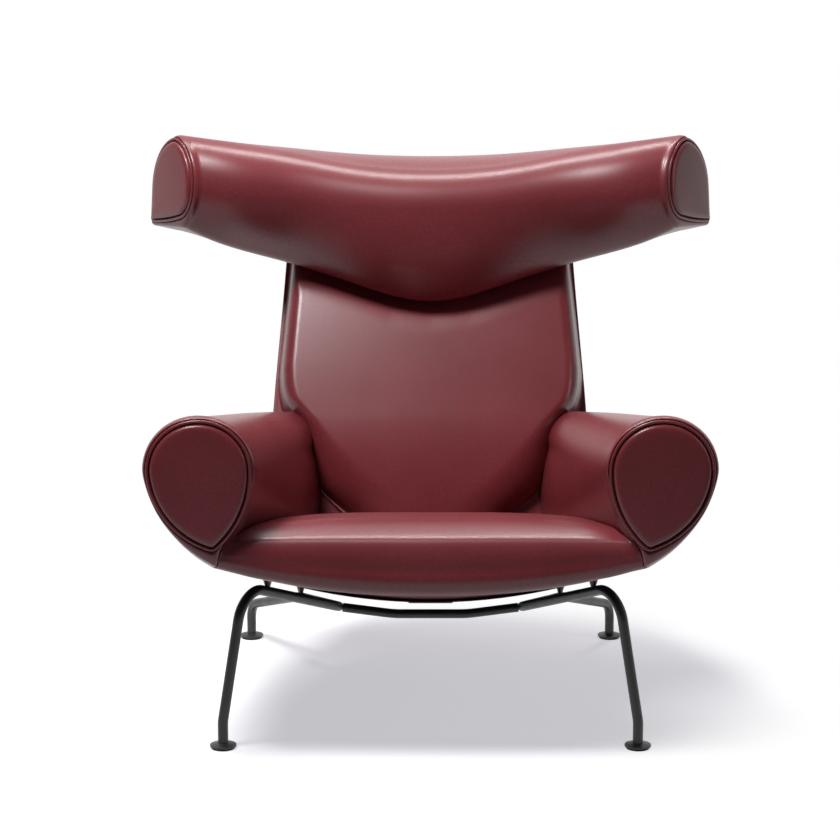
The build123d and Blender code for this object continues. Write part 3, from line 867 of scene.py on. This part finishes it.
def settleLeather(piece):
    # Leather cut a little long over foam, let go as cloth under slight pressure. It moves
    # less towards the sides and the rear, where its neighbours are.
    scene, mesh = bpy.context.scene, piece.data
    before = spotsOf(mesh)
    trial = addObject("settling", mesh.copy())
    cloth = trial.modifiers.new("cloth", "CLOTH")
    for name, value in settling["cloth"].items():
        setattr(cloth.settings, name, value)
    cloth.settings.effector_weights.gravity = 0
    cloth.collision_settings.use_collision = False
    cloth.point_cache.frame_start, cloth.point_cache.frame_end = 1, settling["frames"]
    for step in range(1, settling["frames"] + 1):
        scene.frame_set(step)
    settled = trial.evaluated_get(bpy.context.evaluated_depsgraph_get()).to_mesh()
    move = spotsOf(settled) - before
    wide = [half * metre for half in settling["wide"]]
    deep = [yAt(depth) * metre for depth in settling["deep"]]
    free = fadeOut(np.abs(before[:, :1]), *wide) * fadeOut(before[:, 1:2], *deep)
    furthest = np.linalg.norm(move * free, axis=1).max()
    share = min(1, settling["reach"] * metre / furthest)
    print(f"{piece.name} settled by {furthest / metre:.1f} mm, and {share:.2f} of that is kept")
    mesh.vertices.foreach_set("co", (before + move * free * share).ravel())
    bpy.data.objects.remove(trial)
    scene.frame_set(1)


def cushionOutline(fall, rise):
    # the section at a share of the way to the side: its crest's fall and its lip's rise
    front = blend(cushion["front"], cushion["sideFront"], fall)
    crest = blend(cushion["crest"], cushion["sideCrest"], fall)
    crestDepth = blend(cushion["crestDepth"], cushion["sideCrestDepth"], fall)
    lip = blend(cushion["lip"], cushion["sideLip"], rise)
    shoulderDepth, shoulderRise = cushion["shoulder"]
    points = [
        (yAt(front + cushion["nose"]), lip),
        (yAt(front), blend(lip, crest, cushion["noseShare"])),
        (yAt(blend(front, crestDepth, shoulderDepth)), blend(lip, crest, shoulderRise)),
        (yAt(crestDepth), crest),
        (yAt(cushion["rear"]), cushion["rearTop"]),
        (yAt(cushion["rear"]), cushion["rearBottom"]),
        (yAt(shell["front"] + cushion["nose"]), lip + cushion["foot"]),
    ]
    return soften(bowedOutline(points, cushion["bows"], cushion["counts"]), cushion["softness"])


def makeSeatCushion(armTree):
    knots = [way * spread for way, (spread, fall, rise) in bothWays(cushion["stations"])]
    outlines = [cushionOutline(fall, rise) for way, (spread, fall, rise) in bothWays(cushion["stations"])]
    shares = np.sin(np.linspace(-pi / 2, pi / 2, cushion["sections"]))
    ends, halves = [yAt(cushion["front"]), yAt(cushion["rear"])], [cushion["half"], cushion["rearHalf"]]
    rings = []
    for share, ring in zip(shares, through(knots, outlines, shares)):
        y, z = ring[:, 0], ring[:, 1]
        x = share * np.interp(y, ends, halves)
        half, middle, rim = shellSection(np.clip(y - frontPlane, shell["front"], shell["rear"])).T
        bed = middle + (rim - middle) * (x / half) ** 2 + shell["thick"] + cushion["shellGap"]
        z = np.where(y > yAt(cushion["shellFrom"]), np.maximum(z, bed), z)
        way = 1 if share > 0 else -1
        for i in range(len(y)):
            met = hit(armTree, (0, y[i], z[i]), (way, 0, 0))
            if met is not None and abs(met[0]) - cushion["armGap"] < abs(x[i]):
                x[i] = (abs(met[0]) - cushion["armGap"]) * way
        rings.append(np.stack([x, y, z], 1))
    return skinRings("seat_cushion_leather", rings)


seatShellPiece = makeSeatShell()
seatCushionPiece = makeSeatCushion(treeOf(rightArmPiece, leftArmPiece))
settleLeather(seatCushionPiece)
print("seat made")

# finishes and riding
leatherPieces = {
    "headrest": headrestPiece,
    "left_arm": leftArmPiece,
    "right_arm": rightArmPiece,
    "back_cushion": backCushionPiece,
    "back_shell": backShellPiece,
    "seat_shell": seatShellPiece,
    "seat_cushion": seatCushionPiece,
    **trims,
}
for node, piece in leatherPieces.items():
    piece.data.materials.clear()
    piece.data.materials.append(hide)
    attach(piece, "root")
    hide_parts(node)

hiddenSteel = ["mounting_screws", "head_tube"]
hiddenSteel += [f"{side}_{name}" for side in ("left", "right") for name in ("upright", "arm_rail")]
finishes = {"dust_cover": liningCloth, "dust_cover_tab": tabCloth, **dict.fromkeys(hiddenSteel, rawSteel)}
for node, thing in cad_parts.items():
    if node not in leatherPieces:
        finish = feltPad if node.endswith("glide_pad") else finishes.get(node, blackLacquer)
        for slot in thing.material_slots:
            slot.material = finish

# floor, light and camera, in metres
studio = {
    "lamps": {
        "key": {"at": (-1.24, -1.38, 3.89), "aim": (0.0, 0.0, 0.8), "size": (1.0, 1.1), "power": 138},
        "topStrip": {"at": (-0.3, 0.65, 2.5), "aim": (-0.1, 0.0, 0.6), "size": (2.2, 0.2), "power": 34},
        "rightFill": {"at": (2.8, -0.6, 1.3), "aim": (0.0, 0.0, 0.6), "size": (0.5, 1.6), "power": 8},
    },
    "ambient": 0.045,
    "dim": 0.03,  # what gloss sees in front of the chair
    "air": (0.96, 0.97, 1.0, 1.0),
    "behind": (0.0, 0.95),  # where gloss sees the room turn white, as a direction's y
    "behindGloss": (0.04, 1.0),
}
floorPaint = {
    "half": 9,
    "colour": "#e4e3e7",
    "bounce": "#77767a",  # what the floor gives back to the chair, as over a dark studio
    "lift": 0.52,  # how far the floor is raised towards white for the camera
    "liftTint": (0.98, 0.98, 1.03, 1),
    "centre": (0.0, -0.03, 0.0),  # of the oval in which the floor shows its own tone
    "oval": (0.62, 0.5, 1.0),
    "fade": (0.72, 1.15),  # where it melts into white, as shares of the oval
    "mirrored": (-1.5, 0.0),  # where in y gloss comes to see the floor as the camera does
    "mirrorGain": 1.8,
}
view = {
    "at": (0.0, -4.015, 1.218),
    "pitch": 10.9,
    "picture": 840,  # the photo's width in pixels, which the next two are in too
    "focal": 2456.0,
    "axis": 430.5,
    "sensor": 36,
}


def areaLamp(name, spec):
    lamp = bpy.data.lights.new(name, "AREA")
    lamp.shape = "RECTANGLE"
    lamp.size, lamp.size_y = spec["size"]
    lamp.energy = spec["power"]
    thing = addObject(name, lamp)
    thing.location = spec["at"]
    thing.rotation_euler = (Vector(spec["aim"]) - Vector(spec["at"])).to_track_quat("-Z", "Y").to_euler()


def addMixed(tree, share, first, second):
    return addNode(tree, "ShaderNodeMixShader", links={0: share, 1: first.outputs[0], 2: second.outputs[0]})


def addSky(tree, colour, strength):
    return addNode(tree, "ShaderNodeBackground", {"Color": colour, "Strength": strength})


def makeRoom():
    # Lit faintly, white to the camera, white behind the chair to gloss, and dim to gloss in
    # front of it, as in a studio.
    world = bpy.data.worlds.new("studioRoom")
    bpy.context.scene.world = world
    world.use_nodes = True
    tree = world.node_tree
    tree.nodes.clear()
    rays = addNode(tree, "ShaderNodeLightPath").outputs
    way = addNode(tree, "ShaderNodeTexCoord").outputs["Generated"]
    split = addNode(tree, "ShaderNodeSeparateXYZ", links={0: way}).outputs
    behind = addRange(tree, split["Y"], studio["behind"], studio["behindGloss"], "SMOOTHSTEP")
    gloss = addMath(tree, "MULTIPLY", rays["Is Glossy Ray"], behind)
    seen = addMath(tree, "MAXIMUM", rays["Is Camera Ray"], gloss)
    ambient = addSky(tree, studio["air"], studio["ambient"])
    dim = addSky(tree, studio["air"], studio["dim"])
    white = addSky(tree, (1.0, 1.0, 1.0, 1.0), 1.0)
    unseen = addMixed(tree, rays["Is Glossy Ray"], ambient, dim)
    addNode(tree, "ShaderNodeOutputWorld", links={0: addMixed(tree, seen, unseen, white).outputs[0]})


def makeFloor():
    # Pale paint whose far part melts into the white backdrop.
    half = floorPaint["half"]
    mesh = bpy.data.meshes.new("studioFloor")
    corners = [(-half, -half, 0), (half, -half, 0), (half, half, 0), (-half, half, 0)]
    mesh.from_pydata(corners, [], [(0, 1, 2, 3)])
    material, tree, spot = startMaterial("paleFloorPaint")
    off = {"operation": "SUBTRACT", 1: floorPaint["centre"]}
    away = addNode(tree, "ShaderNodeVectorMath", off, {0: spot})
    shares = {"operation": "DIVIDE", 1: floorPaint["oval"]}
    shaped = addNode(tree, "ShaderNodeVectorMath", shares, {0: away.outputs[0]})
    length = addNode(tree, "ShaderNodeVectorMath", {"operation": "LENGTH"}, {0: shaped.outputs[0]})
    fade = addRange(tree, length.outputs["Value"], floorPaint["fade"], (0.0, 1.0), "SMOOTHSTEP")
    rays = addNode(tree, "ShaderNodeLightPath").outputs
    split = addNode(tree, "ShaderNodeSeparateXYZ", links={0: spot}).outputs
    rear = addRange(tree, split["Y"], floorPaint["mirrored"], (0.0, floorPaint["mirrorGain"]), "SMOOTHSTEP")
    mirrorSeen = addMath(tree, "MULTIPLY", rear, rays["Is Glossy Ray"])
    watched = addMath(tree, "MAXIMUM", rays["Is Camera Ray"], mirrorSeen)
    tones = {"data_type": "RGBA", 6: linear(floorPaint["bounce"]), 7: linear(floorPaint["colour"])}
    tint = addNode(tree, "ShaderNodeMix", tones, {0: watched}).outputs[2]
    dull = {"Roughness": 0.9, "Specular IOR Level": 0.1}
    paint = addNode(tree, "ShaderNodeBsdfPrincipled", dull, {"Base Color": tint})
    lifted = addMath(tree, "MULTIPLY", watched, floorPaint["lift"])
    lift = addNode(tree, "ShaderNodeEmission", {"Color": floorPaint["liftTint"]}, {"Strength": lifted})
    raised = addNode(tree, "ShaderNodeAddShader", links={0: paint.outputs[0], 1: lift.outputs[0]})
    glow = addNode(tree, "ShaderNodeEmission", {"Color": (1, 1, 1, 1), "Strength": 1.0})
    melted = addMixed(tree, addMath(tree, "MULTIPLY", fade, watched), raised, glow)
    mesh.materials.append(finishMaterial(material, melted))
    return addObject("studioFloor", mesh)


def makeCamera():
    camera = bpy.data.cameras.new("studioCamera")
    camera.sensor_width = view["sensor"]
    camera.lens = view["focal"] / view["picture"] * view["sensor"]
    camera.shift_x = (view["picture"] / 2 - view["axis"]) / view["picture"]
    thing = addObject("studioCamera", camera)
    thing.location = view["at"]
    thing.rotation_euler = (radians(90 - view["pitch"]), 0, 0)
    bpy.context.scene.camera = thing


for name, spec in studio["lamps"].items():
    areaLamp(name, spec)
makeRoom()
floor = makeFloor()
makeCamera()
bpy.context.scene.view_settings.view_transform = "Standard"
print("studio set")
